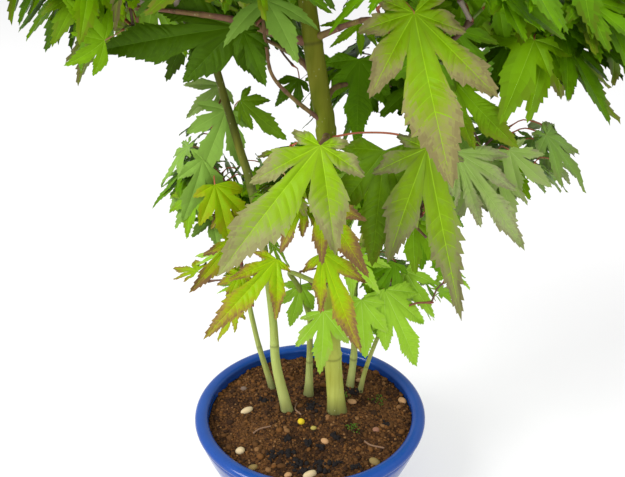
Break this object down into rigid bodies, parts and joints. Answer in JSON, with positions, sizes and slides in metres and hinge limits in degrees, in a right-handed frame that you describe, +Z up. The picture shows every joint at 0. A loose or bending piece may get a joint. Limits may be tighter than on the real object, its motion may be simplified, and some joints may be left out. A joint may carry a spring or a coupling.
{
  "type": "potted Japanese maple bonsai",
  "caption": "Young Japanese maple grown as a clump bonsai: slender green stems and lobed leaves in a round, blue-glazed bowl pot.",
  "frame": {"origin": "middle of the pot's flat underside, which stands on the table", "axes": "+Z up, towards the top of the crown, which is the longest way; +X to the right and -Y to the front as the plant is seen from its best side"},
  "size_m": [0.3189, 0.2546, 0.4924],
  "materials": {
    "pot_glaze": "gloss",
    "potting_soil": "matte",
    "green_bark": "satin",
    "brown_bark": "satin",
    "foliage": "matte"
  },
  "bodies": {
    "root": {"bough_back": "brown_bark", "bough_back_left": "brown_bark", "bough_back_low": "brown_bark", "bough_back_right": "brown_bark", "bough_front": "brown_bark", "bough_front_left": "brown_bark", "bough_front_right": "brown_bark", "bough_front_right_low": "brown_bark", "bough_left": "brown_bark", "bough_left_low": "brown_bark", "bough_right": "brown_bark", "bough_top_back": "brown_bark", "bough_top_front": "brown_bark", "bough_top_left": "brown_bark", "bough_top_right": "brown_bark", "centre_stem": "green_bark", "foliage_back": "foliage", "foliage_back_left": "foliage", "foliage_back_low": "foliage", "foliage_back_right": "foliage", "foliage_centre_low": "foliage", "foliage_crown_top": "foliage", "foliage_front": "foliage", "foliage_front_left": "foliage", "foliage_front_right": "foliage", "foliage_front_right_low": "foliage", "foliage_left_low": "foliage", "foliage_left_mid": "foliage", "foliage_left_upper": "foliage", "foliage_right_low": "foliage", "foliage_right_mid": "foliage", "foliage_right_upper": "foliage", "foliage_top_back": "foliage", "foliage_top_front": "foliage", "foliage_top_left": "foliage", "foliage_top_right": "foliage", "left_back_stem": "green_bark", "left_stem": "green_bark", "main_trunk": "green_bark", "pot": "pot_glaze", "right_back_stem": "green_bark", "right_side_stem": "green_bark", "soil": "potting_soil"}
  },
  "joints": []
}
